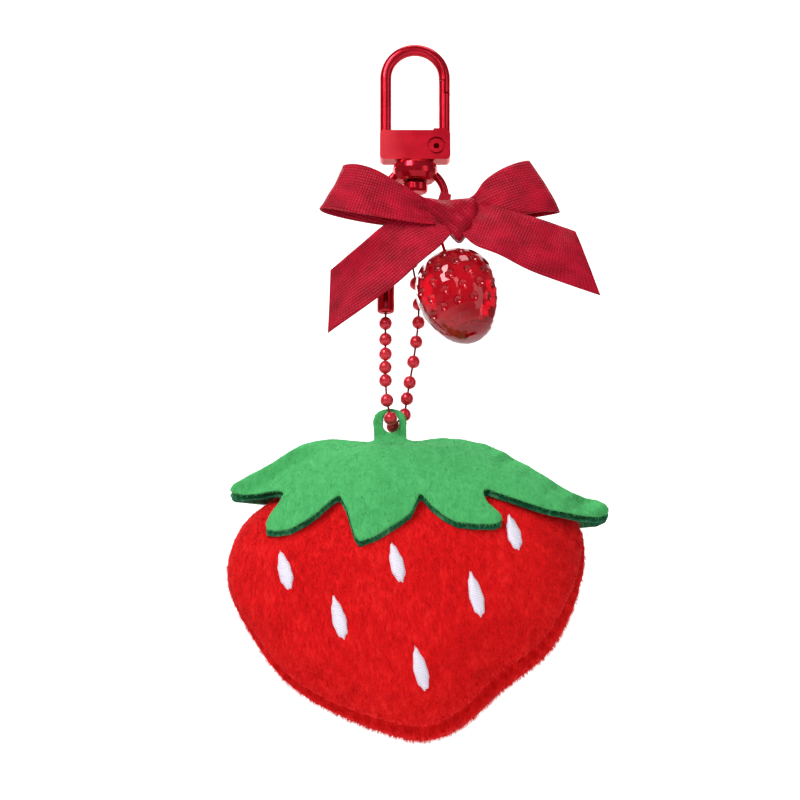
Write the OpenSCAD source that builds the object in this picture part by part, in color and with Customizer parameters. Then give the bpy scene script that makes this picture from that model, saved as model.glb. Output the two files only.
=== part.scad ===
// Plush strawberry keychain: snap hook on a swivel, ribbon bow, clear charm, ball chain
// and a stuffed strawberry with a leafy crown. Millimetres, +Z up, stored hanging.
// The origin is the inside of the hook's crown, where it hangs from a ring or a strap.

/* [Hook] */
// Half the distance between the hook's two legs, centre to centre
leg_half = 6.4; // [5:0.1:9]
// Radius of the hook's round wire
wire_r = 1.25; // [0.9:0.05:2]
// Height of the block's top face below the crown's inside
block_top = 17.4; // [14:0.1:25]
// Width of the hook's block
block_w = 15.3; // [12:0.1:20]
// Height of the hook's block
block_h = 6.5; // [5:0.1:9]
// Front-to-back depth of the hook's block
block_d = 5.2; // [4:0.1:8]
// How far the gate's rivet is from the middle
rivet_x = 4.6; // [3.5:0.1:6]
// Height of the rivet below the crown's inside
rivet_down = 20.9; // [18:0.1:24]

/* [Swivel] */
// Radius of the swivel ring to the middle of its wire
ring_r = 6.5; // [5:0.1:9]
// Radius of the swivel ring's wire
ring_wire = 0.88; // [0.7:0.02:1.3]
// Height of the ring's centre below the crown's inside
ring_down = 31.7; // [29:0.1:36]
// Widest radius of the collar under the block
collar_r = 4.9; // [3.5:0.1:6]

/* [Ribbon] */
// Thickness of the satin ribbon
ribbon_t = 0.35; // [0.2:0.05:0.6]

/* [Charm] */
// Radius of the strawberry charm at its widest
charm_r = 9.0; // [6:0.1:12]
// Length of the charm
charm_h = 20.2; // [14:0.1:26]

// Radius of the ball that each seed pit is pressed with
pit_r = 1.25; // [0.8:0.05:1.8]
// Rows of seed pits
pit_rows = 5; // [3:1:6]
// Seed pits in each row
pit_columns = 5; // [3:1:8]

/* [Ball chain] */
// Radius of each bead
bead_r = 1.43; // [1:0.01:2]
// Wall of each hollow bead
bead_wall = 0.25; // [0.15:0.01:0.4]
// Radius of the link rods between beads
rod_r = 0.22; // [0.15:0.01:0.4]
// Radius of the hole in a bead
hole_r = 0.4; // [0.3:0.01:0.6]
// Outside radius of the chain's clasp
clasp_r = 1.88; // [1.6:0.01:2.6]
// Length of the chain's clasp
clasp_h = 9.8; // [7:0.1:12]

/* [Plush] */
// Half the thickness of the stuffing at its fattest
stuff_half = 12.2; // [6:0.1:18]
// Thickness of the pile cloth
cloth_t = 0.8; // [0.4:0.05:2]
// Thickness of the leaf's green pile cloth
leaf_t = 1.2; // [0.6:0.05:2]
// Thickness of the leaf's dark backing
backing_t = 1.2; // [0.6:0.05:2]
// Thickness of the embroidered seeds
seed_t = 0.4; // [0.2:0.05:0.8]

/* [Hidden] */
$fn = 48;
cloth_gap = 0.02;
gap = 0.15;
arch_z = wire_r - leg_half;
block_mid = -block_top - block_h / 2;
block_low = -block_top - block_h;
nose_low = -8.8;
tongue_top = -5.9;
lap_x = 6.1;
lap_turn = 14;
lap_tilt = -20;
slot_half = 1.55;
shank_r = 1.5;
tail_r = 1.7;
head_r = 2.75;
collar_top = block_low - gap;
collar_low = -28.45;
// charm: where its jump ring hangs on the swivel ring, and how its line leans
hang_deg = -50;
hang_x = ring_r * cos(hang_deg);
hang_z = -ring_down + ring_r * sin(hang_deg);
lean_x = -16.4;
lean_y = -15.9;
jump_r = 2.85;
jump_wire = 0.45;
eye_r = 1.3;
eye_wire = 0.32;
charm_top = 9.3;
pit_turn = 26;
pit_out = 0.6;

// chain: the front leg from the ring down to the tab, then the hidden bead and the back leg up
front_leg = [
    [-2.4, -2.2, -36.5], [-3.6, -2.0, -40.8], [-5.0, -1.6, -45.1], [-6.3, -1.0, -49.5],
    [-6.35, -1.0, -56.0], [-6.4, -1.0, -59.9], [-6.4, -1.0, -63.4], [-6.4, -1.0, -66.6],
    [-6.45, -1.0, -69.5], [-6.4, -1.1, -72.4], [-6.1, -1.6, -76.8], [-5.3, -2.0, -80.8]
];
back_leg = [
    [-4.8, 2.25, -81.8], [-2.3, 2.25, -79.3], [-1.8, 2.15, -75.8], [-1.2, 1.9, -72.3],
    [-0.4, 1.8, -67.8], [0.2, 1.9, -63.4], [0.7, 2.5, -59.0], [0.8, 3.1, -54.8],
    [0.2, 3.0, -50.3], [-0.7, 2.4, -45.7], [-1.6, 2.2, -41.1], [-2.4, 2.2, -36.5]
];
beads = concat(front_leg, back_leg);
bead_count = len(beads);
clasp_pos = [-6.35, -1.0, -57.7];
// the ball on a rod's end
ball_r = 0.45;
// the links where a stretch of chain bends on the next: their balls sit deeper in the beads
bending = [6, 9, 14, 16];
function ball_at(i) = len(search(i, bending)) > 0 ? 0.42 : 0.69;

function two(n) = n < 10 ? str("0", n) : str(n);
function bead_name(i) = str("chain_bead_", two(i + 1));
function unit(v) = v / norm(v);
function wrap(i, n) = (i % n + n) % n;
// a smooth curve through control points: four points around the span, t from 0 to 1
function catmull(a, b, c, d, t) =
    0.5 * (2 * b + (c - a) * t + (2 * a - 5 * b + 4 * c - d) * t * t
        + (3 * b - a - 3 * c + d) * t * t * t);
function closed_curve(p, steps) = let (n = len(p)) [
    for (i = [0 : n - 1], k = [0 : steps - 1])
        catmull(p[wrap(i - 1, n)], p[i], p[wrap(i + 1, n)], p[wrap(i + 2, n)], k / steps)
];
function open_curve(p, steps) = let (n = len(p)) [
    for (i = [0 : n - 2], k = [0 : (i == n - 2 ? steps : steps - 1)])
        catmull(p[max(i - 1, 0)], p[i], p[i + 1], p[min(i + 2, n - 1)], k / steps)
];

// ---------- hook ----------

// a plate in XZ with round corners, t thick along Y, centred
module rounded_plate(w, h, t, r) {
    rotate([90, 0, 0]) {
        linear_extrude(height = t, center = true) {
            square([w - 2 * r, h], center = true);
            square([w, h - 2 * r], center = true);
            for (sx = [-1, 1], sz = [-1, 1])
                translate([sx * (w / 2 - r), sz * (h / 2 - r)]) circle(r = r);
        }
    }
}

module block_body() {
    intersection() {
        rounded_plate(block_w, block_h, block_d + 2, 1.0);
        rotate([0, 0, 90]) rounded_plate(block_d, block_h + 2, block_w + 2, 0.8);
        rotate([90, 0, 0]) rounded_plate(block_w + 2, block_d, block_h + 2, 0.7);
    }
}

module y_rod(r, length) {
    rotate([90, 0, 0]) cylinder(r = r, h = length, center = true);
}

// everything inward of the lap between nose and gate, turned so that it is not seen through
module lap_side(x, low, high) {
    translate([x, 0, low]) rotate([0, 0, lap_turn]) translate([-4, -4, 0]) cube([4, 8, high - low]);
}

module hook_frame() {
    color([0.62, 0.06, 0.12])
    difference() {
        union() {
            translate([0, 0, arch_z]) rotate([90, 0, 0])
                rotate_extrude(angle = 180) translate([leg_half, 0]) circle(r = wire_r);
            translate([-leg_half, 0, -block_top - 0.5])
                cylinder(r = wire_r, h = block_top + 0.5 + arch_z);
            translate([leg_half, 0, nose_low - 1]) cylinder(r = wire_r, h = arch_z - nose_low + 1);
            translate([0, 0, block_mid]) block_body();
        }
        // the nose keeps only its outer half, where the gate laps it
        lap_side(lap_x, nose_low - 2, tongue_top + gap * 2);
        translate([leg_half, 0, nose_low]) rotate([lap_tilt, 0, 0])
            translate([-2, -3, -4]) cube([4, 6, 4]);
        // slot for the gate's tail, open at the top and at the right end
        translate([1.9, -slot_half, block_low + 1.1]) cube([8, 2 * slot_half, block_h]);
        // rivet hole and its counterbores
        translate([rivet_x, 0, -rivet_down]) y_rod(0.97, 20);
        for (s = [-1, 1])
            translate([rivet_x, s * (block_d / 2 + 1.35), -rivet_down]) y_rod(2.0, 4);
        // blind hole for the swivel pin
        translate([0, 0, block_low - 1]) cylinder(r = shank_r + 0.02, h = 4.6);
    }
}

module gate() {
    color([0.62, 0.06, 0.12])
    difference() {
        union() {
            difference() {
                translate([leg_half, 0, -block_top - 0.4])
                    cylinder(r = wire_r - 0.03, h = block_top + 1.4 + nose_low);
                translate([leg_half, 0, nose_low - 0.35]) rotate([lap_tilt, 0, 0])
                    translate([-2, -3, 0]) cube([4, 6, 4]);
            }
            intersection() {
                translate([leg_half, 0, -block_top])
                    cylinder(r = wire_r - 0.03, h = block_top + tongue_top);
                lap_side(lap_x - gap, -block_top, 0);
            }
            // tail: a flat arm and a disc round the rivet
            translate([rivet_x, -0.65, -rivet_down]) y_rod(tail_r, 1.6);
            translate([rivet_x - 0.6, -1.45, -rivet_down]) cube([3.0, 1.6, 4.2]);
        }
        translate([rivet_x, 0, -rivet_down]) y_rod(1.01, 10);
    }
}

module gate_rivet() {
    color([0.62, 0.06, 0.12])
    translate([rivet_x, 0, -rivet_down]) difference() {
        union() {
            y_rod(0.95, block_d - 1.2);
            for (s = [-1, 1]) translate([0, s * (block_d / 2 - 0.38), 0]) y_rod(1.5, 0.5);
        }
        translate([0, -1.2, 0]) y_rod(0.62, 5);
    }
}

// one turn after another of round wire, as rings of points joined by quads
module coil(r, wire, turns, pitch, steps, sides) {
    n = turns * steps;
    pts = [
        for (i = [0 : n], k = [0 : sides - 1])
            let (a = 360 * i / steps, b = 360 * k / sides)
            let (out = r + wire * cos(b))
            [out * cos(a), out * sin(a), wire * sin(b) + pitch * i / steps]
    ];
    side = [
        for (i = [0 : n - 1], k = [0 : sides - 1])
            let (k2 = (k + 1) % sides)
            [i * sides + k, i * sides + k2, (i + 1) * sides + k2, (i + 1) * sides + k]
    ];
    first = [[for (k = [sides - 1 : -1 : 0]) k]];
    last = [[for (k = [0 : sides - 1]) n * sides + k]];
    polyhedron(points = pts, faces = concat(side, first, last), convexity = 6);
}

module gate_spring() {
    color([0.75, 0.76, 0.78])
    translate([rivet_x, 0.4, -rivet_down]) rotate([-90, 0, 0]) coil(1.4, 0.15, 2, 0.4, 16, 6);
}

// ---------- swivel ----------

module swivel_pin() {
    color([0.62, 0.06, 0.12]) {
        translate([0, 0, collar_low - gap - 0.3])
            cylinder(r = shank_r, h = block_low + 3.5 - collar_low + gap + 0.3);
        rotate_extrude() polygon(concat(
            [[0, collar_low - gap - 2.3], [head_r - 0.7, collar_low - gap - 2.3]],
            [for (a = [-75 : 15 : 0]) [head_r - 0.7 + 0.7 * cos(a), collar_low - gap - 1.6 + 0.7 * sin(a)]],
            [for (a = [0 : 15 : 90]) [head_r - 0.5 + 0.5 * cos(a), collar_low - gap - 0.5 + 0.5 * sin(a)]],
            [[0, collar_low - gap]]
        ));
    }
}

module swivel_eye() {
    color([0.62, 0.06, 0.12])
    difference() {
        union() {
            rotate_extrude() polygon([
                [0, collar_top], [collar_r - 0.9, collar_top], [collar_r - 0.25, collar_top - 0.7],
                [collar_r, collar_top - 1.8], [collar_r - 0.15, collar_top - 2.9],
                [collar_r - 0.6, collar_low + 0.35], [collar_r - 1.1, collar_low], [0, collar_low]
            ]);
            translate([0, 0, -ring_down]) rotate([90, 0, 0])
                rotate_extrude() translate([ring_r, 0]) circle(r = ring_wire);
        }
        translate([0, 0, -40]) cylinder(r = shank_r + 0.05, h = 30);
        translate([0, 0, -ring_down]) cylinder(r = head_r + 0.6, h = ring_down + collar_low);
    }
}

// ---------- bow ----------

// a flat band through stations: middle point, and the vector from the middle to its upper edge
module band(mid, half, thick) {
    n = len(mid);
    pts = [
        for (i = [0 : n - 1])
            let (
                along = unit(mid[min(i + 1, n - 1)] - mid[max(i - 1, 0)]),
                out = unit(cross(along, half[i])) * thick / 2
            )
            each [
                mid[i] + half[i] + out, mid[i] + half[i] - out,
                mid[i] - half[i] - out, mid[i] - half[i] + out
            ]
    ];
    side = [
        for (i = [0 : n - 2], k = [0 : 3])
            let (k2 = (k + 1) % 4, a = i * 4, b = i * 4 + 4)
            each [[a + k, b + k, b + k2], [a + k, b + k2, a + k2]]
    ];
    end = n * 4;
    caps = [[0, 1, 2], [0, 2, 3], [end - 4, end - 2, end - 3], [end - 4, end - 1, end - 2]];
    polyhedron(points = pts, faces = concat(side, caps), convexity = 6);
}

// left loop: out along the front, round the fold, back along the rear
left_mid = [
    [0.7, -9.1, -36.6], [-4.0, -9.8, -35.0], [-9.5, -10.0, -33.2], [-14.0, -9.4, -32.0],
    [-17.2, -8.0, -31.4], [-18.0, -6.2, -31.2], [-16.6, -4.8, -31.6], [-12.0, -4.3, -32.8],
    [-6.0, -4.8, -34.6], [0.7, -6.8, -36.6]
];
left_half = [
    [0.2, 0, 3.1], [0.6, 0, 4.0], [1.4, 0, 4.8], [2.2, 0, 5.0],
    [2.5, 0, 4.8], [2.5, 0, 4.7], [2.4, 0, 4.7], [1.6, 0, 4.6],
    [0.8, 0, 4.0], [0.2, 0, 3.1]
];
right_mid = [
    [13.4, -8.4, -37.0], [17.0, -9.2, -35.0], [21.5, -9.2, -33.4], [25.5, -8.6, -32.2],
    [28.0, -7.2, -31.6], [28.2, -5.6, -31.6], [25.6, -4.6, -32.3], [21.0, -4.4, -33.6],
    [17.0, -5.2, -35.2], [13.4, -6.8, -37.0]
];
right_half = [
    [-0.3, 0, 2.6], [-1.2, 0, 4.0], [-2.2, 0, 4.6], [-2.8, 0, 4.7],
    [-3.0, 0, 4.7], [-3.0, 0, 4.7], [-2.9, 0, 4.7], [-2.4, 0, 4.5],
    [-1.2, 0, 4.0], [-0.3, 0, 2.6]
];
tail_left_mid = [[2.2, -8.7, -41.0], [-2.4, -8.2, -43.8], [-8.6, -7.4, -48.9], [-18.4, -6.6, -56.3]];
tail_left_half = [[-2.8, 0.7, 3.8], [-3.4, 0.6, 4.4], [-3.4, 0, 4.6], [0.2, 0, 6.8]];
tail_right_mid = [[14.6, -10.8, -40.6], [20.0, -11.0, -42.6], [28.1, -10.6, -45.8], [36.7, -9.8, -48.7]];
tail_right_half = [[1.8, 1.0, 4.5], [2.0, 1.0, 4.9], [2.0, 0.6, 5.5], [-2.6, 0, 6.9]];

module smooth_band(mid, half, steps) {
    band(open_curve(mid, steps), open_curve(half, steps), ribbon_t);
}

module bow_loop_left() {
    color([0.72, 0.06, 0.14]) smooth_band(left_mid, left_half, 3);
}

module bow_loop_right() {
    color([0.66, 0.04, 0.10]) smooth_band(right_mid, right_half, 3);
}

module bow_tail_left() {
    color([0.72, 0.06, 0.14]) smooth_band(tail_left_mid, tail_left_half, 2);
}

module bow_tail_right() {
    color([0.66, 0.04, 0.10]) smooth_band(tail_right_mid, tail_right_half, 2);
}

module bow_knot() {
    color([0.70, 0.05, 0.12])
    translate([0, -6.4, 0]) rotate([90, 0, 0]) linear_extrude(height = 3.4)
        polygon([
            [1.1, -33.9], [5.9, -34.6], [12.8, -34.4], [12.9, -39.4],
            [9.6, -43.4], [7.4, -42.6], [3.6, -39.6], [1.1, -38.0]
        ]);
}

// the turn of ribbon that ties the knot to the swivel ring's wire
module bow_wrap() {
    color([0.66, 0.04, 0.10])
    translate([0, 0, -ring_down]) rotate([90, 0, 0]) {
        difference() {
            union() {
                rotate([0, 0, -30]) rotate_extrude(angle = 24)
                    translate([ring_r, 0]) circle(r = ring_wire + 0.55);
                rotate([0, 0, -18]) translate([ring_r - 1.2, -1.4, 0]) cube([2.4, 2.8, 6.3]);
            }
            rotate_extrude() translate([ring_r, 0]) circle(r = ring_wire + 0.04);
        }
    }
}

// ---------- charm ----------

// a line that hangs from the swivel ring: local -Z runs down through the charm
module on_charm_line() {
    translate([hang_x, 0, hang_z]) rotate([lean_x, lean_y, 0]) children();
}

module charm_jump_ring() {
    color([0.62, 0.06, 0.12])
    on_charm_line() translate([0, 0, -1.15]) rotate([0, 90, 0])
        rotate_extrude() translate([jump_r, 0]) circle(r = jump_wire);
}

eye_down = 1.15 + jump_r + jump_wire + eye_wire + 0.06 - eye_r;

module charm_eye_pin() {
    color([0.62, 0.06, 0.12])
    on_charm_line() {
        translate([0, 0, -eye_down - 0.2]) rotate([90, 0, 0])
            rotate_extrude() translate([eye_r, 0]) circle(r = eye_wire);
        translate([0, 0, -charm_top - 6]) cylinder(r = eye_wire, h = 6 + charm_top - eye_down - 0.2 - eye_r);
    }
}

module charm_cap() {
    color([0.45, 0.04, 0.08])
    on_charm_line() difference() {
        intersection() {
            translate([0, 0, -charm_top - 0.9]) cylinder(r1 = 3.6, r2 = 1.4, h = 1.4);
            translate([0, 0, -charm_top - 0.9]) cylinder(r = 3.2, h = 1.4);
        }
        translate([0, 0, -charm_top - 3]) cylinder(r = eye_wire + 0.03, h = 6);
    }
}

// strawberry section: radius and depth below the top
charm_curve = open_curve([
    [0.4, 0], [0.6, 0.03], [0.86, 0.15], [1.0, 0.38], [0.88, 0.66], [0.6, 0.88], [0.28, 0.985], [0, 1.0]
], 3);
charm_radii = [for (p = charm_curve) [p[1], p[0]]];

module charm_bead() {
    color([0.78, 0.04, 0.12, 0.6])
    on_charm_line() translate([0, 0, -charm_top - 1.0]) difference() {
        rotate_extrude() polygon(concat(
            [[0, 0]],
            [for (p = charm_curve) [max(p[0], 0) * charm_r, -p[1] * charm_h]]
        ));
        translate([0, 0, -6]) cylinder(r = eye_wire + 0.05, h = 7);
        // seed pits over the front and left, in staggered rows
        for (row = [0 : pit_rows - 1], k = [0 : pit_columns - 1])
            let (
                drop = 0.13 + 0.145 * row,
                turn = -150 + pit_turn * (k + 0.5 * (row % 2)),
                r = charm_r * lookup(drop, charm_radii) + pit_out
            )
            translate([r * cos(turn), r * sin(turn), -drop * charm_h]) sphere(r = pit_r);
    }
}

// ---------- ball chain ----------

module aim(from, to) {
    d = to - from;
    translate(from) rotate([0, acos(d[2] / norm(d)), atan2(d[1], d[0])]) children();
}

module bead(i) {
    p = beads[i];
    before = beads[wrap(i - 1, bead_count)];
    after = beads[wrap(i + 1, bead_count)];
    difference() {
        translate(p) sphere(r = bead_r);
        translate(p) sphere(r = bead_r - bead_wall);
        aim(p, before) cylinder(r = hole_r, h = bead_r + 0.5);
        aim(p, after) cylinder(r = hole_r, h = bead_r + 0.5);
    }
}

// the rod from one bead into the next, with a ball on each end inside the beads
module link(i) {
    a = beads[wrap(i, bead_count)];
    b = beads[wrap(i + 1, bead_count)];
    reach = norm(b - a);
    aim(a, b) {
        translate([0, 0, ball_at(i)]) cylinder(r = rod_r, h = reach - 2 * ball_at(i));
        translate([0, 0, ball_at(i)]) sphere(r = ball_r);
        translate([0, 0, reach - ball_at(i)]) sphere(r = ball_r);
    }
}

module links(list) {
    color([0.50, 0.04, 0.10]) for (i = list) link(i);
}

module chain_bead(i) {
    color([0.72, 0.10, 0.18]) bead(i);
}

module chain_clasp() {
    color([0.55, 0.05, 0.11])
    difference() {
        translate(clasp_pos) rotate_extrude() polygon(concat(
            [[0, 0]],
            [for (a = [-90 : 15 : 0]) [clasp_r - 0.8 + 0.8 * cos(a), 0.8 + 0.8 * sin(a)]],
            [for (a = [0 : 15 : 90]) [clasp_r - 0.8 + 0.8 * cos(a), clasp_h - 0.8 + 0.8 * sin(a)]],
            [[0, clasp_h]]
        ));
        translate(clasp_pos + [0, 0, 0.3]) cylinder(r = clasp_r - 0.33, h = clasp_h - 0.6);
        // slot up the front, and the two notches that the links pass
        translate(clasp_pos + [-0.45, -clasp_r - 1, 0.9]) cube([0.9, clasp_r + 1, clasp_h - 1.8]);
        translate(clasp_pos + [0, 0, -1]) cylinder(r = 0.5, h = 2.2);
        translate(clasp_pos + [0, 0, clasp_h - 1.5]) cylinder(r = 0.85, h = 3);
    }
}

// ---------- plush ----------

// the strawberry's outline, clockwise from its upper left, in X and Z
body_points = [
    [-31, -97.2], [-38.4, -103.8], [-41.4, -114.2], [-37.6, -124.2], [-29.2, -136.4], [-18.6, -143.7],
    [-5.8, -148.8], [2.6, -150.2], [10.8, -146.6], [19.2, -139.2], [29.4, -130.6], [35.4, -118.6],
    [37, -106.6], [33.4, -99.4], [22, -91.6], [2, -87.2], [-18, -89.6]
];
body_mid = [-1.5, -114];
body_outline = closed_curve(body_points, 3);

// how full the cushion is, from 1 in the middle to 0 at the seam
function fullness(s) = s >= 1 ? 0 : pow(1 - pow(s, 2.4), 0.62);

// a closed shell over a star-shaped outline, from a front depth to a rear depth
module pillow(outline, mid, rings, front, rear) {
    n = len(outline);
    m = len(rings);
    function grid(depths) = [
        for (j = [0 : m - 1], i = [0 : n - 1])
            let (p = mid + (outline[i] - mid) * rings[j])
            [p[0], depths[j], p[1]]
    ];
    pts = concat(grid(front), grid(rear), [[mid[0], front[0], mid[1]], [mid[0], rear[0], mid[1]]]);
    half = n * m;
    top = 2 * half;
    function strip(base, flip) = [
        for (j = [0 : m - 2], i = [0 : n - 1])
            let (i2 = (i + 1) % n, row = base + j * n, a = row + i, b = row + i2, c = a + n, d = b + n)
            each flip ? [[a, c, b], [b, c, d]] : [[a, b, c], [b, d, c]]
    ];
    rim = [
        for (i = [0 : n - 1])
            let (i2 = (i + 1) % n, a = (m - 1) * n + i, b = (m - 1) * n + i2)
            each [[a, b, a + half], [b, b + half, a + half]]
    ];
    cap_front = [for (i = [0 : n - 1]) [top, (i + 1) % n, i]];
    cap_rear = [for (i = [0 : n - 1]) [top + 1, half + i, half + (i + 1) % n]];
    walls = concat(strip(0, false), strip(half, true), rim);
    polyhedron(points = pts, faces = concat(walls, cap_front, cap_rear), convexity = 4);
}

rings = [0.3, 0.55, 0.75, 0.88, 0.96, 1.0];
// how far each panel's inner face lies from the stuffing, and how much the stuffing is drawn in
panel_off = 0.04;
filling_share = 0.985;

module panel(side) {
    pillow(
        body_outline, body_mid, rings,
        [for (s = rings) side * (panel_off + (side < 0 ? cloth_t : 0) + stuff_half * fullness(s))],
        [for (s = rings) side * (panel_off + (side < 0 ? 0 : cloth_t) + stuff_half * fullness(s))]
    );
}

module front_panel() {
    color([0.84, 0.07, 0.09]) panel(-1);
}

module back_panel() {
    color([0.84, 0.07, 0.09]) panel(1);
}

module filling() {
    color([0.95, 0.95, 0.93])
    pillow(
        body_outline, body_mid, [for (s = rings) s * filling_share],
        [for (s = rings) -stuff_half * fullness(s) * filling_share - 0.01],
        [for (s = rings) stuff_half * fullness(s) * filling_share + 0.01]
    );
}

// how far out a point of the face lies: 0 in the middle, 1 on the seam, more beyond it
function spread(x, z) = max([
    for (i = [0 : len(body_outline) - 1])
        let (
            a = body_outline[i],
            b = body_outline[(i + 1) % len(body_outline)],
            n = [b[1] - a[1], a[0] - b[0]]
        )
        (n * ([x, z] - body_mid)) / (n * (a - body_mid))
]);
full_table = concat([[0, fullness(rings[0])]], [for (s = rings) [s, fullness(s)]], [[3, 0]]);
function swell(x, z, ease) = stuff_half * lookup(spread(x, z) * ease, full_table);

// the leafy crown with its hanging tab, clockwise from the tab's left foot
leaf_points = [
    [-8.9, -85.6], [-9.1, -81.0], [-7.9, -79.0], [-5.3, -78.3], [-2.8, -79.0], [-1.8, -81.2], [-1.7, -85.0],
    [1.2, -85.5], [6.0, -84.7], [14.8, -86.4], [24.2, -91.8], [33.0, -97.2], [38.6, -98.6], [41.0, -100.4],
    [38.6, -102.4], [28.2, -101.6], [17.6, -98.4], [14.3, -97.5],
    [15.0, -100.4], [17.9, -103.2], [16.4, -105.0], [8.4, -104.7], [3.2, -101.3], [1.0, -98.5],
    [-0.9, -102.6], [-5.6, -106.0], [-11.6, -108.9], [-13.4, -105.0], [-15.9, -98.8],
    [-20.0, -102.2], [-26.0, -105.8], [-31.2, -105.9], [-30.6, -102.6], [-27.6, -97.6],
    [-33.0, -97.5], [-38.6, -97.2], [-38.6, -95.2], [-30.5, -90.7], [-24.2, -86.5], [-18.0, -85.0], [-12.5, -85.6]
];
leaf_outline = closed_curve(leaf_points, 2);
tab_hole = [-5.25, -81.45];
tab_z = -84.5;
face_z = -87.5;
stand_off = 1.3;

// 0 at the hanging tab, 1 on the leaf proper
function leafness(z) = lookup(z, [[face_z, 1], [tab_z, 0]]);

columns = [for (x = [-44 : 5 : 46]) x];
rows = [-77, -81, tab_z, -86, face_z, -90, -93, -96, -99, -102, -105, -110];

// a sheet that follows the plush face, between a near and a far depth at the tab and on the leaf
module face_sheet(near, far) {
    nx = len(columns);
    nz = len(rows);
    function depth(x, z, pair) =
        -(pair[0] + (pair[1] - pair[0]) * leafness(z) + leafness(z) * swell(x, z, 0.95));
    function layer(pair) = [
        for (j = [0 : nz - 1], i = [0 : nx - 1])
            [columns[i], depth(columns[i], rows[j], pair), rows[j]]
    ];
    total = nx * nz;
    cells = [
        for (j = [0 : nz - 2], i = [0 : nx - 2])
            let (a = j * nx + i, b = a + 1, c = a + nx, d = c + 1)
            each [[a, b, c], [b, d, c], [a + total, c + total, b + total], [b + total, c + total, d + total]]
    ];
    edge_a = [for (i = [0 : nx - 2]) each [[i, i + total, i + 1], [i + 1, i + total, i + 1 + total]]];
    base = (nz - 1) * nx;
    edge_b = [
        for (i = [base : base + nx - 2]) each [[i, i + 1, i + total], [i + 1, i + 1 + total, i + total]]
    ];
    edge_c = [
        for (j = [0 : nz - 2])
            let (a = j * nx, b = a + nx)
            each [[a, b, a + total], [b, b + total, a + total]]
    ];
    edge_d = [
        for (j = [0 : nz - 2])
            let (a = j * nx + nx - 1, b = a + nx)
            each [[a, a + total, b], [b, a + total, b + total]]
    ];
    edges = concat(edge_a, edge_b, edge_c, edge_d);
    polyhedron(points = concat(layer(near), layer(far)), faces = concat(cells, edges), convexity = 4);
}

module leaf_shape() {
    rotate([90, 0, 0]) linear_extrude(height = 60, center = true) difference() {
        polygon(leaf_outline);
        translate(tab_hole) {
            translate([0, 0.4]) circle(r = 1.7);
            translate([0, -0.4]) circle(r = 1.7);
        }
    }
}

module leaf_layer() {
    color([0.31, 0.70, 0.42])
    intersection() {
        leaf_shape();
        face_sheet([0.7, stand_off + backing_t + cloth_gap + leaf_t], [0.05, stand_off + backing_t + cloth_gap]);
    }
}

module backing_layer() {
    color([0.07, 0.38, 0.22])
    intersection() {
        leaf_shape();
        face_sheet([0.4, stand_off + backing_t], [0.05, stand_off]);
        translate([-60, -40, -130]) cube([120, 80, 130 + face_z]);
    }
}

module leaf_front() {
    leaf_layer();
}

module leaf_back() {
    mirror([0, 1, 0]) leaf_layer();
}

module backing_front() {
    backing_layer();
}

module backing_back() {
    mirror([0, 1, 0]) backing_layer();
}

// the six embroidered seeds: middle in X and Z, and length
seeds = [
    [-27.3, -114.3, 8.4], [-4.0, -113.0, 8.6], [20.4, -106.4, 7.8],
    [-16.0, -124.3, 9.2], [12.4, -119.5, 9.6], [0.9, -134.8, 9.2]
];
seed_w = 1.7;
seed_tilt = 14;
seed_off = 0.2;

module seed(i) {
    s = seeds[i];
    n = 20;
    // a spindle, slimmer at its upper left end
    drop = [
        for (k = [0 : n - 1])
            let (
                t = 360 * (k + 0.5) / n,
                u = seed_w * sign(sin(t)) * pow(abs(sin(t)), 1.25) * pow(sin(t / 2), 0.6),
                v = s[2] / 2 * cos(t)
            )
            [s[0] + u * cos(seed_tilt) - v * sin(seed_tilt), s[1] + u * sin(seed_tilt) + v * cos(seed_tilt)]
    ];
    mid = [s[0], s[1]];
    levels = [0.5, 1];
    function at(p, off) = [p[0], -(panel_off + cloth_t + swell(p[0], p[1], 1) + off), p[1]];
    function layer(off) = [for (q = levels, p = drop) at(mid + (p - mid) * q, off)];
    pts = concat(layer(seed_off + seed_t), layer(seed_off), [at(mid, seed_off + seed_t), at(mid, seed_off)]);
    half = 2 * n;
    faces = [
        for (k = [0 : n - 1])
            let (k2 = (k + 1) % n)
            each [
                [4 * n, k, k2], [4 * n + 1, half + k2, half + k],
                [k, n + k, n + k2], [k, n + k2, k2],
                [half + k, half + n + k2, half + n + k], [half + k, half + k2, half + n + k2],
                [n + k, half + n + k, half + n + k2], [n + k, half + n + k2, n + k2]
            ]
    ];
    color([0.90, 0.87, 0.96]) polyhedron(points = pts, faces = faces, convexity = 4);
}

// ---------- nodes ----------

hook_frame();
gate();
gate_rivet();
gate_spring();
swivel_pin();
swivel_eye();
bow_wrap();
bow_knot();
bow_loop_left();
bow_loop_right();
bow_tail_left();
bow_tail_right();
charm_jump_ring();
charm_eye_pin();
charm_cap();
charm_bead();
chain_clasp();
// links: which rods belong to each stretch of chain, counted from the bead that each starts at
links([bead_count - 1]);  // links_saddle
links([0, 1, 2, 4, 5, 17, 18, 19, 20, 21, 22]);  // links_top
links([6, 7, 8, 15, 16]);  // links_mid
links([9, 10, 11, 12, 13, 14]);  // links_low
for (i = [0 : bead_count - 1]) chain_bead(i);
front_panel();
back_panel();
filling();
leaf_front();
leaf_back();
backing_front();
backing_back();
for (i = [0 : 5]) seed(i);
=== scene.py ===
import bmesh
import bpy
import math
import numpy as np
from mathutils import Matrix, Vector, noise
from mathutils.bvhtree import BVHTree


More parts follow.
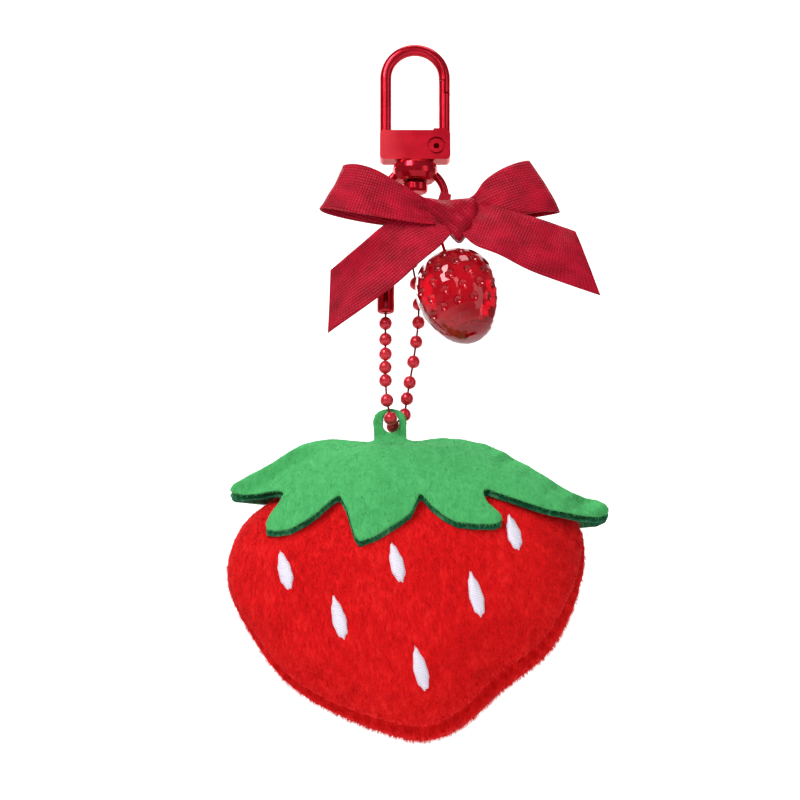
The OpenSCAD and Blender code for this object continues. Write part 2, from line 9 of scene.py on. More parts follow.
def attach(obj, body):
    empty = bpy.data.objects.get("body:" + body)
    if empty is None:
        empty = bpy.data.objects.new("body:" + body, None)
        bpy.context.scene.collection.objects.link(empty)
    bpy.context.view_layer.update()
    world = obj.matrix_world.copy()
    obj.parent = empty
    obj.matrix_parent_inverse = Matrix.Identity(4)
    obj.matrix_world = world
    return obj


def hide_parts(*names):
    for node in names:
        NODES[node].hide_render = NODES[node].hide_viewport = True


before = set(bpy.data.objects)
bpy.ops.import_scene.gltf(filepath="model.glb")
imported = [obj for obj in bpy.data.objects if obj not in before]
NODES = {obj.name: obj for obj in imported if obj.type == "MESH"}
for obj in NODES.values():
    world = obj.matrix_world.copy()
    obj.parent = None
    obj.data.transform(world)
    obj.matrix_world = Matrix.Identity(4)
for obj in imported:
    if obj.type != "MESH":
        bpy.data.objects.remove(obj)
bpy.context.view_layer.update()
MM = 0.001
rng = np.random.default_rng(7)


# ---------- node materials ----------

class Paint:
    """A Principled material with short helpers for the nodes that drive it."""

    def __init__(self, name, **values):
        self.mat = bpy.data.materials.new(name)
        self.mat.use_nodes = True
        self.tree = self.mat.node_tree
        self.bsdf = self.tree.nodes["Principled BSDF"]
        self.coords = self.tree.nodes.new("ShaderNodeTexCoord")
        for socket, value in values.items():
            self.bsdf.inputs[socket.replace("_", " ")].default_value = value

    def node(self, kind, **settings):
        made = self.tree.nodes.new(kind)
        for key, value in settings.items():
            if key in made.inputs:
                made.inputs[key].default_value = value
            else:
                setattr(made, key, value)
        return made

    def link(self, out, into):
        self.tree.links.new(out, into)

    def scaled(self, source, size):
        """The texture coordinates stretched by size, as cells per metre."""
        mapping = self.node("ShaderNodeMapping")
        mapping.inputs["Scale"].default_value = size
        self.link(self.coords.outputs[source], mapping.inputs["Vector"])
        return mapping.outputs["Vector"]

    def noise(self, size, detail=3.0, source="Object", rough=0.55):
        made = self.node("ShaderNodeTexNoise")
        made.inputs["Scale"].default_value = 1.0
        made.inputs["Detail"].default_value = detail
        made.inputs["Roughness"].default_value = rough
        self.link(self.scaled(source, size), made.inputs["Vector"])
        return made.outputs["Fac"]

    def ramp(self, value, stops):
        made = self.node("ShaderNodeValToRGB")
        ramp = made.color_ramp
        while len(ramp.elements) < len(stops):
            ramp.elements.new(0.5)
        for element, (place, color) in zip(ramp.elements, stops):
            element.position = place
            element.color = (*color, 1.0)
        self.link(value, made.inputs["Fac"])
        return made.outputs["Color"]

    def math(self, kind, a, b=None):
        made = self.node("ShaderNodeMath", operation=kind)
        for i, value in enumerate([a, b]):
            if value is None:
                continue
            if isinstance(value, (int, float)):
                made.inputs[i].default_value = value
            else:
                self.link(value, made.inputs[i])
        return made.outputs[0]

    def base(self, color):
        self.link(color, self.bsdf.inputs["Base Color"])

    def rough(self, value, low, high):
        made = self.node("ShaderNodeMapRange")
        made.inputs["To Min"].default_value = low
        made.inputs["To Max"].default_value = high
        self.link(value, made.inputs["Value"])
        self.link(made.outputs["Result"], self.bsdf.inputs["Roughness"])

    def bump(self, height, strength, depth):
        made = self.node("ShaderNodeBump")
        made.inputs["Strength"].default_value = strength
        made.inputs["Distance"].default_value = depth
        self.link(height, made.inputs["Height"])
        self.link(made.outputs["Normal"], self.bsdf.inputs["Normal"])


RED_TINT = (0.9, 0.2, 0.25)


def enamel(name, dark, light, roughness=0.22, metal=0.7, coat=0.25, tint=RED_TINT):
    """Glossy coloured paint over cast metal, with a faint ripple and thicker colour in places."""
    p = Paint(name, Metallic=metal, Coat_Weight=coat, Coat_Roughness=0.06)
    p.bsdf.inputs["Specular Tint"].default_value = (*tint, 1.0)
    cloud = p.noise((220, 220, 220), 4.0)
    p.base(p.ramp(cloud, [(0.3, dark), (0.7, light)]))
    p.rough(p.noise((900, 900, 900), 2.0), roughness * 0.7, roughness * 1.4)
    p.bump(p.noise((420, 420, 420), 2.0), 0.15, 0.00004)
    return p.mat


# the repeat of the ribbon's weave, in metres
WEAVE = 0.0012


def satin(name, dark, light):
    """Woven satin ribbon with a dotted diagonal weave. UV is in metres."""
    p = Paint(name, Sheen_Weight=0.04, Sheen_Roughness=0.35, Anisotropic=0.5, Specular_IOR_Level=0.3)
    p.bsdf.inputs["Specular Tint"].default_value = (1.0, 0.45, 0.5, 1.0)
    cloud = p.noise((160, 260, 1), 3.0, "UV")
    split = p.node("ShaderNodeSeparateXYZ")
    p.link(p.coords.outputs["UV"], split.inputs[0])
    along, across = split.outputs["X"], split.outputs["Y"]
    waves = [p.math("SINE", p.math("MULTIPLY", p.math(way, along, across), 2 * math.pi / WEAVE))
             for way in ("ADD", "SUBTRACT")]
    weave = p.math("MULTIPLY", waves[0], waves[1])
    level = p.math("ADD", cloud, p.math("MULTIPLY", weave, 0.14))
    p.base(p.ramp(level, [(0.25, dark), (0.75, light)]))
    p.rough(p.noise((700, 700, 1), 2.0, "UV"), 0.32, 0.5)
    p.bump(p.math("ADD", weave, p.math("MULTIPLY", p.noise((2500, 2500, 1), 2.0, "UV"), 0.8)), 0.45, 0.00016)
    return p.mat


def pile(name, dark, light, shaded, grain=1700, depth=0.0005):
    """Short pile cloth: fibres run mostly down. Its colour holds painted shade and painted highlights: soft
    lighter and darker patches, and fine flecks at the size of fibres and tufts.
    """
    p = Paint(name, Roughness=0.85, Sheen_Weight=0.16, Sheen_Roughness=0.45)
    p.bsdf.inputs["Sheen Tint"].default_value = (*[min(1.0, 0.25 + 1.1 * c) for c in light], 1.0)
    p.bsdf.inputs["Specular IOR Level"].default_value = 0.15
    # painted shade and painted highlights: these noises lighten and darken the colour where the nap, fibres
    # and tufts would catch light or fall in shade
    nap_shading = p.noise((75, 75, 60), 3.0)
    fibres = p.noise((grain, grain, grain * 0.35), 4.0, rough=0.7)
    tufts = p.noise((grain * 0.28, grain * 0.28, grain * 0.18), 3.0)
    level = p.math("ADD", p.math("MULTIPLY", nap_shading, 0.16), p.math("MULTIPLY", fibres, 0.50))
    level = p.math("ADD", level, p.math("MULTIPLY", tufts, 0.34))
    # the shaded stop is painted shade, the light stop painted highlight
    p.base(p.ramp(level, [(0.36, shaded), (0.50, dark), (0.66, light)]))
    p.bump(p.math("ADD", p.math("MULTIPLY", fibres, 0.6), tufts), 0.6, depth)
    return p.mat


def clear_berry(name):
    """Tinted clear resin, its red deeper in some random patches and lighter in others."""
    p = Paint(name, Roughness=0.05, Transmission_Weight=0.55, IOR=1.45, Coat_Weight=0.6, Coat_Roughness=0.02)
    p.bsdf.inputs["Specular Tint"].default_value = (1.0, 0.3, 0.35, 1.0)
    p.base(p.ramp(p.noise((120, 120, 160), 3.0), [(0.3, (0.26, 0.0, 0.004)), (0.7, (0.66, 0.002, 0.012))]))
    p.bump(p.noise((260, 260, 260), 2.0), 0.25, 0.0002)
    return p.mat


def thread(name, dark, light, lean):
    """Satin-stitch embroidery: threads lie side by side across the seed."""
    p = Paint(name, Roughness=0.45, Sheen_Weight=0.4, Sheen_Roughness=0.3)
    turn = p.node("ShaderNodeMapping")
    turn.inputs["Rotation"].default_value = (0, lean, 0)
    p.link(p.coords.outputs["Object"], turn.inputs["Vector"])
    wave = p.node("ShaderNodeTexWave", bands_direction="Z")
    wave.inputs["Scale"].default_value = 900
    wave.inputs["Distortion"].default_value = 1.2
    wave.inputs["Detail"].default_value = 2.0
    p.link(turn.outputs["Vector"], wave.inputs["Vector"])
    p.base(p.ramp(wave.outputs["Fac"], [(0.1, dark), (0.7, light)]))
    p.bump(wave.outputs["Fac"], 0.5, 0.00015)
    return p.mat


RED_METAL = enamel("red_metal", (0.40, 0.003, 0.012), (0.58, 0.008, 0.024))
CHAIN_METAL = enamel("chain_metal", (0.52, 0.012, 0.028), (0.74, 0.040, 0.060), 0.32, 0.45, 0.5)
LINK_METAL = enamel("link_metal", (0.12, 0.004, 0.008), (0.22, 0.008, 0.014), 0.35)
SATIN = satin("satin_ribbon", (0.22, 0.000, 0.008), (0.54, 0.003, 0.026))
RED_PILE = pile("red_pile", (0.76, 0.004, 0.006), (0.92, 0.020, 0.018), (0.62, 0.002, 0.004))
LEAF_PILE = pile("leaf_pile", (0.075, 0.45, 0.135), (0.11, 0.54, 0.18), (0.06, 0.38, 0.11), 2100, 0.0003)
# the backing's darker green, near black at its shaded stop, shows as a strip below the leaf's edge and partly
# paints the shadow there
LEAF_EDGE_SHADOW = pile("leaf_edge_shadow", (0.010, 0.13, 0.055), (0.10, 0.38, 0.17), (0.002, 0.06, 0.025), 1500, 0.0004)
BERRY = clear_berry("clear_berry")
# the bead cap's near-black colour is partly painted shade, where the bow shades it
CAP_AND_SHADE = enamel("charm_cap", (0.06, 0.002, 0.005), (0.14, 0.004, 0.010), 0.2, 0.0)
SPRING_STEEL = enamel("spring_steel", (0.45, 0.45, 0.47), (0.62, 0.62, 0.64), 0.3, 1.0, 0.0, (1, 1, 1))
THREAD = thread("seed_thread", (0.72, 0.66, 0.88), (0.97, 0.94, 1.0), math.radians(14))


def set_material(node, mat):
    ob = NODES[node]
    if ob.material_slots:
        for one in ob.material_slots:
            one.material = mat
    else:
        ob.data.materials.append(mat)


for name in NODES:
    if name.startswith("chain_bead"):
        set_material(name, CHAIN_METAL)
    elif name.startswith("links"):
        set_material(name, LINK_METAL)
for name in ["hook_frame", "gate", "gate_rivet", "swivel_pin", "swivel_eye",
             "charm_jump_ring", "charm_eye_pin", "chain_clasp"]:
    set_material(name, RED_METAL)
set_material("gate_spring", SPRING_STEEL)
set_material("charm_bead", BERRY)
set_material("charm_cap", CAP_AND_SHADE)


# ---------- shared mesh helpers ----------

def add_piece(name, verts, faces, mat, smooth=True):
    mesh = bpy.data.meshes.new(name)
    mesh.from_pydata([tuple(v) for v in verts], [], faces)
    mesh.materials.append(mat)
    mesh.validate()
    ob = bpy.data.objects.new(name, mesh)
    bpy.context.collection.objects.link(ob)
    if smooth:
        mesh.shade_smooth()
    return ob


def catmull(points, steps):
    """A smooth curve through the rows of points."""
    p = np.asarray(points, float)
    out = []
    for i in range(len(p) - 1):
        a, b, c, d = p[max(i - 1, 0)], p[i], p[i + 1], p[min(i + 2, len(p) - 1)]
        for k in range(steps):
            t = k / steps
            out.append(0.5 * (2 * b + (c - a) * t + (2 * a - 5 * b + 4 * c - d) * t * t
                              + (3 * b - a - 3 * c + d) * t ** 3))
    out.append(p[-1])
    return np.array(out)


def active(ob):
    bpy.ops.object.select_all(action="DESELECT")
    ob.select_set(True)
    bpy.context.view_layer.objects.active = ob


def apply_all(ob):
    active(ob)
    for m in list(ob.modifiers):
        bpy.ops.object.modifier_apply(modifier=m.name)


def merged_copy(name, nodes, mat):
    """The meshes of some CAD nodes in one new object."""
    bm = bmesh.new()
    for n in nodes:
        bm.from_mesh(NODES[n].data)
    mesh = bpy.data.meshes.new(name)
    bm.to_mesh(mesh)
    bm.free()
    mesh.materials.clear()
    mesh.materials.append(mat)
    ob = bpy.data.objects.new(name, mesh)
    bpy.context.collection.objects.link(ob)
    return ob


def remesh(ob, size, smooth=0):
    m = ob.modifiers.new("remesh", "REMESH")
    m.mode = "VOXEL"
    m.voxel_size = size
    if smooth:
        s = ob.modifiers.new("smooth", "SMOOTH")
        s.iterations = smooth
        s.factor = 0.5
    apply_all(ob)
    ob.data.shade_smooth()


def read_points(ob):
    co = np.empty(len(ob.data.vertices) * 3)
    ob.data.vertices.foreach_get("co", co)
    return co.reshape(-1, 3)


def write_points(ob, co):
    ob.data.vertices.foreach_set("co", co.ravel())
    ob.data.update()


# ---------- ribbon bow ----------

RIBBON_T = 0.30 * MM
RIBBON_EDGE = 0.07 * MM
# mesh rows between two stations of a band, and points across it
RIBBON_STEPS = 14
RIBBON_ACROSS = 15
# how far along a band its gathers fade, as a share of its length
GATHER_FADE = 0.13


def ribbon(name, mids, halves, nodes, crown=0.3, gather_first=0.0, gather_last=0.0, folds=2.5, ripple=0.15):
    """A satin band through stations given in mm: middle points, and the vector to the upper edge."""
    mid, half = catmull(mids, RIBBON_STEPS), catmull(halves, RIBBON_STEPS)
    n, m = len(mid), RIBBON_ACROSS
    along = np.gradient(mid, axis=0)
    out = np.cross(along, half)
    out /= np.linalg.norm(out, axis=1)[:, None]
    run = np.concatenate([[0], np.cumsum(np.linalg.norm(np.diff(mid, axis=0), axis=1))])
    width = 2 * np.linalg.norm(half, axis=1)
    verts, uvs = [], []
    for i in range(n):
        s = i / (n - 1)
        pull = gather_first * math.exp(-s / GATHER_FADE) + gather_last * math.exp(-(1 - s) / GATHER_FADE)
        for j in range(m):
            v = -1 + 2 * j / (m - 1)
            lift = crown * (1 - v * v) + pull * math.sin(folds * math.pi * v + 0.6)
            lift += ripple * noise.noise(Vector((run[i] * 0.16, v * 1.3, len(name))))
            verts.append((mid[i] + half[i] * v + out[i] * lift) * MM)
            uvs.append((run[i] * MM, v * width[i] / 2 * MM))
    faces = [(i * m + j, i * m + j + 1, (i + 1) * m + j + 1, (i + 1) * m + j)
             for i in range(n - 1) for j in range(m - 1)]
    ob = add_piece(name, verts, faces, SATIN)
    layer = ob.data.uv_layers.new(name="UVMap")
    for loop in ob.data.loops:
        layer.data[loop.index].uv = uvs[loop.vertex_index]
    thick = ob.modifiers.new("thick", "SOLIDIFY")
    thick.thickness = RIBBON_T
    thick.offset = 0
    round_edge = ob.modifiers.new("edge", "BEVEL")
    round_edge.width = RIBBON_EDGE
    round_edge.segments = 1
    round_edge.limit_method = "ANGLE"
    round_edge.angle_limit = math.radians(50)
    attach(ob, "swivel")
    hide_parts(*nodes)
    return ob


# stations along each band, in mm: its middle, and from there to its upper edge
LEFT_LOOP = [
    [4.5, -8.4, -37.6], [0.9, -8.9, -36.6], [-4.0, -9.6, -35.0], [-9.5, -10.0, -33.2], [-14.0, -9.6, -32.0],
    [-17.2, -8.2, -31.4], [-18.0, -6.4, -31.4], [-16.6, -5.0, -32.0], [-12.0, -4.6, -33.4],
    [-6.0, -5.0, -35.2], [0.9, -6.6, -36.8]]
LEFT_HALF = [
    [0.4, 0, 2.2], [0.2, 0, 3.1], [0.6, 0, 4.0], [1.5, 0, 4.8], [2.2, 0, 5.0],
    [2.5, 0, 4.8], [2.5, 0, 4.7], [2.4, 0, 4.7], [1.6, 0, 4.6],
    [0.8, 0, 4.0], [0.2, 0, 3.0]]
RIGHT_LOOP = [
    [8.6, -8.2, -37.6], [13.0, -8.8, -36.4], [16.5, -9.3, -34.6], [20.6, -9.3, -33.0], [24.6, -8.8, -31.8],
    [27.2, -7.6, -31.2], [27.6, -6.2, -31.2], [25.4, -5.2, -31.9], [20.6, -4.8, -33.2],
    [16.5, -5.6, -35.0], [12.6, -6.8, -36.8]]
RIGHT_HALF = [
    [-0.2, 0, 2.0], [-0.6, 0, 2.8], [-1.8, 0, 4.0], [-2.7, 0, 4.8], [-3.1, 0, 5.3],
    [-3.2, 0, 5.6], [-3.2, 0, 5.6], [-3.0, 0, 5.2], [-2.6, 0, 4.7],
    [-1.6, 0, 4.0], [-0.4, 0, 2.8]]
LEFT_TAIL = [
    [7.4, -9.2, -39.2], [3.0, -8.8, -40.7], [-2.4, -8.3, -43.7], [-8.6, -7.4, -48.9], [-18.4, -6.6, -56.3]]
LEFT_TAIL_HALF = [[-0.9, 0.4, 2.0], [-2.6, 0.6, 3.7], [-3.4, 0.5, 4.5], [-3.4, 0, 4.6], [0.25, 0, 6.9]]
RIGHT_TAIL = [
    [9.6, -9.2, -38.8], [14.2, -10.6, -40.5], [20.0, -11.0, -42.6], [28.1, -10.6, -45.8], [36.7, -9.8, -48.7]]
RIGHT_TAIL_HALF = [[0.6, 0.4, 2.4], [1.8, 0.9, 4.5], [2.0, 0.9, 4.9], [2.0, 0.5, 5.5], [-2.6, 0, 7.0]]

ribbon("bow_loop_left_ribbon", LEFT_LOOP, LEFT_HALF, ["bow_loop_left"], 0.35, 0.55, 0.4)
ribbon("bow_loop_right_ribbon", RIGHT_LOOP, RIGHT_HALF, ["bow_loop_right"], 0.35, 0.5, 0.4)
ribbon("bow_tail_left_ribbon", LEFT_TAIL, LEFT_TAIL_HALF, ["bow_tail_left"], 0.4, 0.6, 0.0, 2.0, 0.35)
ribbon("bow_tail_right_ribbon", RIGHT_TAIL, RIGHT_TAIL_HALF, ["bow_tail_right"], 0.4, 0.6, 0.0, 2.0, 0.35)


KNOT_FRONT = -9.9
KNOT_DOME = 2.0
KNOT_BACK = -6.6


def knot_piece():
    """The wrapped knot: a domed, creased patch of ribbon that narrows to its lower end."""
    corners = [(1.0, -34.2), (3.4, -34.5), (6.2, -34.9), (9.4, -34.6), (12.6, -34.6), (13.0, -37.2),
               (12.8, -39.6), (11.2, -42.0), (9.5, -43.8), (7.7, -42.4), (6.0, -39.9), (3.4, -37.6)]
    ring = catmull([(x, 0, z) for x, z in corners + corners[:1]], 6)[:-1]
    centre = np.array([8.6, 0, -37.8])
    levels = [0.0, 0.2, 0.4, 0.58, 0.74, 0.87, 0.95, 1.0]
    n = len(ring)
    verts, uvs, faces = [], [], []
    for s in levels:
        for p in ring:
            q = centre + (p - centre) * s
            fold = 0.5 * math.sin((q[0] * 0.62 + q[2] * 0.78) * 1.7) + 0.3 * math.sin((q[0] - q[2]) * 0.9)
            y = KNOT_FRONT - KNOT_DOME * (1 - s ** 2.6) ** 0.6 - fold * (1 - s ** 4)
            verts.append(Vector((q[0], y, q[2])) * MM)
            uvs.append(((q[0] * 0.75 - q[2] * 0.66) * MM, (q[0] * 0.66 + q[2] * 0.75) * MM))
    for j in range(len(levels) - 1):
        for i in range(n):
            k = (i + 1) % n
            faces.append((j * n + i, (j + 1) * n + i, (j + 1) * n + k, j * n + k))
    back = len(verts)
    last = (len(levels) - 1) * n
    for p in ring:
        q = centre + (p - centre) * 0.97
        verts.append(Vector((q[0], KNOT_BACK, q[2])) * MM)
        uvs.append((q[0] * MM, q[2] * MM))
    faces += [(last + i, back + i, back + (i + 1) % n, last + (i + 1) % n) for i in range(n)]
    faces.append(tuple(back + i for i in range(n)))
    ob = add_piece("bow_knot_ribbon", verts, faces, SATIN)
    layer = ob.data.uv_layers.new(name="UVMap")
    for loop in ob.data.loops:
        layer.data[loop.index].uv = uvs[loop.vertex_index]
    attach(ob, "swivel")
    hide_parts("bow_knot")


knot_piece()
set_material("bow_wrap", SATIN)


# ---------- stuffed strawberry ----------

# the cloth solver works at this many times the real size
SIM_SCALE = 10.0
SIM_FRAMES = 20
SWELL_CAP = 0.9 * MM


def outline_reach(points, centre, bins=180):
    """How far the piece reaches from its centre, for each direction in the XZ plane."""
    d = points[:, [0, 2]] - centre
    angle = np.arctan2(d[:, 1], d[:, 0])
    index = ((angle + math.pi) / (2 * math.pi) * bins).astype(int) % bins
    reach = np.zeros(bins)
    np.maximum.at(reach, index, np.hypot(d[:, 0], d[:, 1]))
    smooth = sum(np.roll(reach, k) for k in (-2, -1, 0, 1, 2)) / 5
    return smooth, index, np.hypot(d[:, 0], d[:, 1])


def puff(ob):
    """Swells the cushion as cloth under pressure, at a size the solver likes."""
    rest = read_points(ob).copy()
    write_points(ob, rest * SIM_SCALE)
    cloth = ob.modifiers.new("cloth", "CLOTH")
    cloth.settings.effector_weights.gravity = 0
    cloth.settings.use_pressure = True
    cloth.settings.uniform_pressure_force = 4.0
    cloth.settings.quality = 6
    cloth.settings.mass = 0.3
    cloth.settings.tension_stiffness = 12
    cloth.settings.compression_stiffness = 12
    cloth.settings.bending_stiffness = 0.6
    cloth.point_cache.frame_start = 1
    cloth.point_cache.frame_end = SIM_FRAMES
    scene = bpy.context.scene
    for f in range(1, SIM_FRAMES + 1):
        scene.frame_set(f)
    got = ob.evaluated_get(bpy.context.evaluated_depsgraph_get())
    moved = np.empty(len(got.data.vertices) * 3)
    got.data.vertices.foreach_get("co", moved)
    moved = moved.reshape(-1, 3) / SIM_SCALE
    ob.modifiers.remove(cloth)
    step = moved - rest
    far = np.linalg.norm(step, axis=1)
    step *= np.minimum(1, SWELL_CAP / np.maximum(far, 1e-9))[:, None]
    write_points(ob, rest + step)
    scene.frame_set(1)


BODY_CENTRE = np.array([-1.5, -114.0]) * MM
BODY_VOXEL = 1.1 * MM
# where the seam shows from the front: degrees round the outline, and mm forward of the middle
SEAM_ANGLES = [-180, -160, -120, -90, -40, -10, 20, 180]
SEAM_FORWARD = [0.0, 1.2, 2.4, 3.6, 4.2, 2.8, 0.0, 0.0]
SEAM_WIDTH = 0.9 * MM
SEAM_DEPTH = 1.8 * MM
# the seam shapes only this outer share of the outline, and its dents are deepest at DENT_SHARE
SEAM_SHARE = 0.82
DENT_SHARE = 0.86
# ripples for each radian round the outline
STITCH_RATE = 74
DENT_RATE = 17


def stuffed_body():
    """The stuffed cushion: both panels and the filling as one skin, with its seam, lumps and dents."""
    ob = merged_copy("plush_body", ["front_panel", "filling", "back_panel"], RED_PILE)
    remesh(ob, BODY_VOXEL, 6)
    puff(ob)
    sub = ob.modifiers.new("sub", "SUBSURF")
    sub.levels = sub.render_levels = 1
    apply_all(ob)
    co = read_points(ob)
    centre = BODY_CENTRE
    reach, index, r = outline_reach(co, centre)
    share = np.clip(r / reach[index], 0, 1.2)
    # the seam: a groove where the two panels meet, puckered by its stitches. It sits forward of the
    # middle along the lower right, so that the back panel shows past it
    angle = np.arctan2(co[:, 2] - centre[1], co[:, 0] - centre[0])
    forward = np.interp(np.degrees(angle), SEAM_ANGLES, SEAM_FORWARD) * MM
    near = np.exp(-((co[:, 1] + forward) / SEAM_WIDTH) ** 2) * (share > SEAM_SHARE)
    pucker = 0.85 + 0.25 * np.sin(angle * STITCH_RATE)
    shrink = near * pucker * SEAM_DEPTH / np.maximum(r, 1e-6)
    co[:, 0] -= (co[:, 0] - centre[0]) * shrink
    co[:, 2] -= (co[:, 2] - centre[1]) * shrink
    co[:, 1] += near * pucker * 0.35 * forward
    # soft lumps of stuffing, and small dents that run in from the seam
    for i in range(len(co)):
        p = Vector(co[i])
        lump = noise.noise(p * 85) * 0.55 + noise.noise(p * 240) * 0.16
        dent = 0.28 * math.sin(angle[i] * DENT_RATE + 2.2 * noise.noise(p * 60))
        dent *= math.exp(-((share[i] - DENT_SHARE) / 0.10) ** 2)
        side = -1 if co[i, 1] < 0 else 1
        co[i, 1] += side * (lump + dent) * MM * min(1, abs(co[i, 1]) / (4 * MM))
    write_points(ob, co)
    ob.data.shade_smooth()
    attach(ob, "plush")
    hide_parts("front_panel", "filling", "back_panel")
    return ob


BODY = stuffed_body()
BODY_TREE = BVHTree.FromObject(BODY, bpy.context.evaluated_depsgraph_get())


# ---------- leafy crown ----------

LEAF_VOXEL = 0.28 * MM
# heights where the crown's waves begin, below its hanging tab, and where the backing tucks in
WAVE_TOP = -0.0865
TUCK_LOW = -0.0915
EASE = 0.004


def leaf_piece(name, node, mat, side, drop_mm):
    """A sheet of the crown from its CAD solid: rounded edges, soft waves and a slight quilt."""
    ob = merged_copy(name, [node], mat)
    remesh(ob, LEAF_VOXEL, 4)
    co = read_points(ob)
    for i in range(len(co)):
        p = Vector(co[i])
        wave = noise.noise(p * 95) * 0.45 + noise.noise(p * 330) * 0.12
        low = min(1, max(0, (WAVE_TOP - co[i, 2]) / EASE))
        co[i, 1] += side * wave * MM * low
        co[i, 2] -= drop_mm * MM * low
        high = min(1, max(0, (co[i, 2] - TUCK_LOW) / EASE))
        co[i, 1] -= side * 0.8 * drop_mm * MM * high
        co[i, 2] += noise.noise(p * 260 + Vector((3, 0, 0))) * 0.14 * MM
        co[i, 0] += noise.noise(p * 260 + Vector((0, 5, 0))) * 0.14 * MM
    write_points(ob, co)
    ob.data.shade_smooth()
    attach(ob, "plush")
    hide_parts(node)
    return ob


# how far the darker backing is dropped to show below the pile, in mm: a painted shadow under the leaf's edge
BACKING_SHADOW_DROP = 1.1
# the crown's leaf sheets and their backings, front and back
leaves = {}
for tag, side in (("front", -1), ("back", 1)):
    leaves[tag] = leaf_piece(f"leaf_{tag}_cloth", f"leaf_{tag}", LEAF_PILE, side, 0.0)
    backing = leaf_piece(f"backing_{tag}_cloth", f"backing_{tag}", LEAF_EDGE_SHADOW, side, BACKING_SHADOW_DROP)


# ---------- embroidered seeds ----------

# each seed's middle across and up, and its length, in mm
SEEDS = [(-27.3, -114.3, 8.4), (-4.0, -113.0, 8.6), (20.4, -106.4, 7.8),
         (-16.0, -124.3, 9.2), (12.4, -119.5, 9.6), (0.9, -134.8, 9.2)]
SEED_HALF_WIDTH = 1.75
SEED_LEAN = math.radians(14)


def face_depth(x, z):
    """Where the plush's front is, straight behind a point in front of it."""
    hit = BODY_TREE.ray_cast(Vector((x, -0.05, z)), Vector((0, 1, 0)))
    return hit[0].y if hit[0] else -0.001


def seed_piece(index, middle_x, middle_z, length):
    """A raised spindle of stitches that follows the cloth, its edge a little pulled in."""
    levels, n = [0.0, 0.3, 0.55, 0.75, 0.9, 1.0, 1.04], 48
    verts, faces = [], []
    for s in levels:
        for k in range(n):
            t = 2 * math.pi * (k + 0.5) / n
            u = math.copysign(abs(math.sin(t)) ** 1.25, math.sin(t)) * math.sin(t / 2) ** 0.6
            u *= SEED_HALF_WIDTH * s
            v = length / 2 * math.cos(t) * s
            fray = 1 + 0.045 * math.sin(k * 5.1 + index) * (s > 0.8)
            x = (middle_x + (u * math.cos(SEED_LEAN) - v * math.sin(SEED_LEAN)) * fray) * MM
            z = (middle_z + (u * math.sin(SEED_LEAN) + v * math.cos(SEED_LEAN)) * fray) * MM
            lift = 0.85 * max(0.0, 1 - s ** 2.4) ** 0.5 + 0.12 if s <= 1.0 else -0.5
            verts.append((x, face_depth(x, z) - lift * MM, z))
    for j in range(len(levels) - 1):
        for k in range(n):
            k2 = (k + 1) % n
            faces.append((j * n + k, j * n + k2, (j + 1) * n + k2, (j + 1) * n + k))
    back = len(verts)
    last = (len(levels) - 1) * n
    for k in range(n):
        x, y, z = verts[last + k]
        verts.append((x, y + 0.4 * MM, z))
    faces += [(last + k, last + (k + 1) % n, back + (k + 1) % n, back + k) for k in range(n)]
    faces.append(tuple(back + k for k in reversed(range(n))))
    ob = add_piece(f"seed_stitch_{index}", verts, faces, THREAD)
    bm = bmesh.new()
    bm.from_mesh(ob.data)
    bmesh.ops.remove_doubles(bm, verts=bm.verts, dist=1e-7)
    bmesh.ops.recalc_face_normals(bm, faces=bm.faces)
    bm.to_mesh(ob.data)
    bm.free()
    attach(ob, "plush")
    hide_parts(f"seed_{index}")


for number, (sx, sz, tall) in enumerate(SEEDS, 1):
    seed_piece(number, sx, sz, tall)


# ---------- pile fibres ----------

def seed_share(x, z):
    """Below 1 inside an embroidered seed, given in mm."""
    best = 9.0
    for mx, mz, length in SEEDS:
        dx, dz = x - mx, z - mz
        u = dx * math.cos(SEED_LEAN) + dz * math.sin(SEED_LEAN)
        v = -dx * math.sin(SEED_LEAN) + dz * math.cos(SEED_LEAN)
        best = min(best, math.hypot(u / (SEED_HALF_WIDTH * 0.8), v / (length * 0.52)))
    return best


def fibres(name, base, mat, count, long, wide, lay, slot_name, skip=None):
    """Short blades of pile, rooted on a piece's surface and combed mostly along lay."""
    mesh = base.data
    mesh.calc_loop_triangles()
    tri = np.array([t.vertices for t in mesh.loop_triangles])
    co = read_points(base)
    a, b, c = co[tri[:, 0]], co[tri[:, 1]], co[tri[:, 2]]
    cross = np.cross(b - a, c - a)
    area = np.linalg.norm(cross, axis=1)
    pick = rng.choice(len(tri), count, p=area / area.sum())
    r1, r2 = np.sqrt(rng.random(count)), rng.random(count)
    root = a[pick] * (1 - r1)[:, None] + b[pick] * (r1 * (1 - r2))[:, None] + c[pick] * (r1 * r2)[:, None]
    normal = cross[pick] / area[pick][:, None]
    if skip is not None:
        keep = np.array([not skip(p) for p in root])
        root, normal = root[keep], normal[keep]
    count = len(root)
    comb = np.asarray(lay, float) + rng.normal(0, 0.35, (count, 3))
    way = normal * rng.uniform(0.45, 0.9, (count, 1)) + comb * 0.75
    way /= np.linalg.norm(way, axis=1)[:, None]
    aside = np.cross(way, normal + rng.normal(0, 0.3, (count, 3)))
    aside /= np.linalg.norm(aside, axis=1)[:, None]
    size = long * rng.uniform(0.6, 1.2, (count, 1))
    left, right = root - aside * wide / 2 - normal * 0.1 * MM, root + aside * wide / 2 - normal * 0.1 * MM
    tip = root + way * size
    verts = np.stack([left, right, tip], axis=1).reshape(-1, 3)
    faces = np.arange(len(verts)).reshape(-1, 3)
    ob = add_piece(name, verts, faces.tolist(), mat, smooth=False)
    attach(ob, "plush")
    return ob


def under_seed(p):
    """Whether a point on the plush is covered by a seed, where no pile shows."""
    return p[1] < 0 and seed_share(p[0] / MM, p[2] / MM) < 1.0


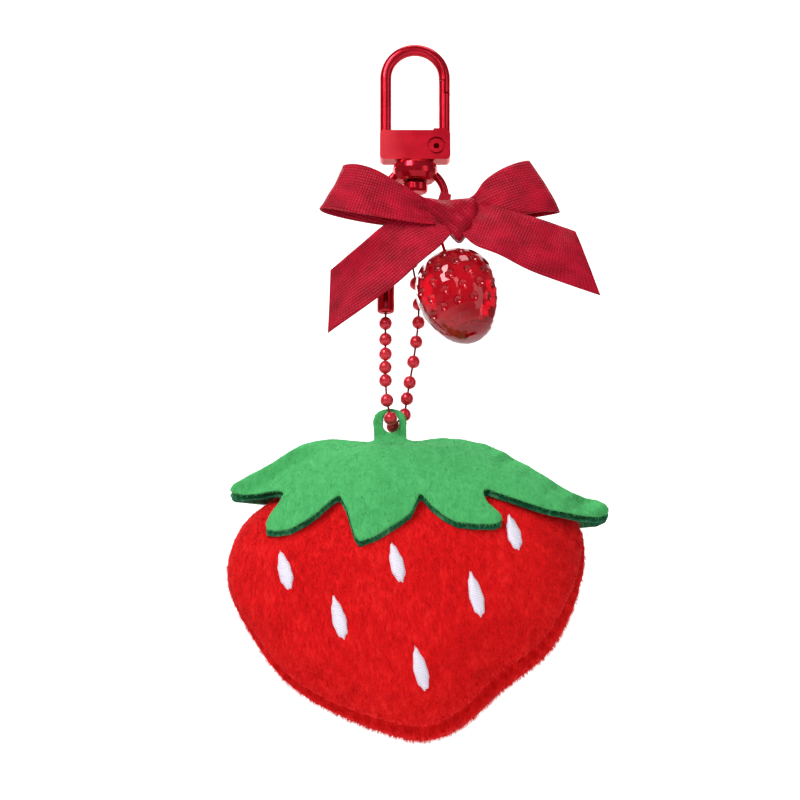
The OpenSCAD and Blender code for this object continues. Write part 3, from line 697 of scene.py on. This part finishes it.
DENSE = 1.0
BODY_FIBRES = int(60000 * DENSE)
LEAF_FIBRES = int(16000 * DENSE)
BODY_NAP = (0.1, 0, -1)
LEAF_NAP = (0.2, 0, -1)
fibres("plush_pile", BODY, RED_PILE, BODY_FIBRES, 1.05 * MM, 0.16 * MM, BODY_NAP, "red_plush", under_seed)
for tag in ("front", "back"):
    fibres(f"leaf_{tag}_pile", leaves[tag], LEAF_PILE, LEAF_FIBRES, 0.6 * MM, 0.13 * MM, LEAF_NAP,
           "leaf_plush")


# ---------- studio ----------

TARGET = Vector((-3.28, 0, -76.46)) * MM
DISTANCE = 0.62
TILT = math.radians(-10)
FRAME_WIDTH = 0.17144
SENSOR = 36

camera_data = bpy.data.cameras.new("camera")
camera_data.sensor_width = SENSOR
camera_data.lens = SENSOR * DISTANCE / FRAME_WIDTH
camera = bpy.data.objects.new("camera", camera_data)
bpy.context.collection.objects.link(camera)
camera.location = TARGET + Vector((0, -math.cos(TILT), math.sin(TILT))) * DISTANCE
camera.rotation_euler = (math.pi / 2 - TILT, 0, 0)
bpy.context.scene.camera = camera


def panel_light(name, place, size, power, color=(1, 1, 1)):
    data = bpy.data.lights.new(name, "AREA")
    data.shape = "RECTANGLE"
    data.size, data.size_y = size
    data.energy = power
    data.color = color
    ob = bpy.data.objects.new(name, data)
    bpy.context.collection.objects.link(ob)
    ob.location = place
    ob.rotation_euler = (TARGET - Vector(place)).to_track_quat("-Z", "Y").to_euler()


panel_light("key", (-0.35, -0.50, 0.38), (0.30, 0.40), 5.0)
panel_light("fill", (0.60, -0.45, 0.05), (0.35, 0.60), 0.9)
panel_light("card", (-0.066, -0.70, 0.16), (0.12, 0.20), 0.24)
panel_light("top", (0.05, 0.10, 0.60), (0.5, 0.3), 2.0)
panel_light("back_left", (-0.45, 0.55, 0.20), (0.3, 0.5), 2.0)
panel_light("back_right", (0.45, 0.60, 0.10), (0.3, 0.5), 1.4)

world = bpy.data.worlds.new("studio")
bpy.context.scene.world = world
world.use_nodes = True
world.node_tree.nodes["Background"].inputs["Color"].default_value = (1, 1, 1, 1)
world.node_tree.nodes["Background"].inputs["Strength"].default_value = 0.16
bpy.context.scene.view_settings.view_transform = "Standard"


def stage_plane(name, size, place, turn, glow):
    bpy.ops.mesh.primitive_plane_add(size=size, location=place, rotation=turn)
    ob = bpy.context.object
    ob.name = name
    p = Paint(name + "_paint", Roughness=0.9)
    p.base(p.ramp(p.noise((2, 2, 2)), [(0.3, (0.93, 0.93, 0.93)), (0.7, (0.96, 0.96, 0.96))]))
    p.bsdf.inputs["Emission Color"].default_value = (1, 1, 1, 1)
    p.bsdf.inputs["Emission Strength"].default_value = glow
    ob.data.materials.append(p.mat)


stage_plane("floor", 6.0, (0, 0, -0.42), (0, 0, 0), 0.10)
stage_plane("backdrop", 4.0, (0, 1.9, 0.4), (math.pi / 2, 0, 0), 1.0)
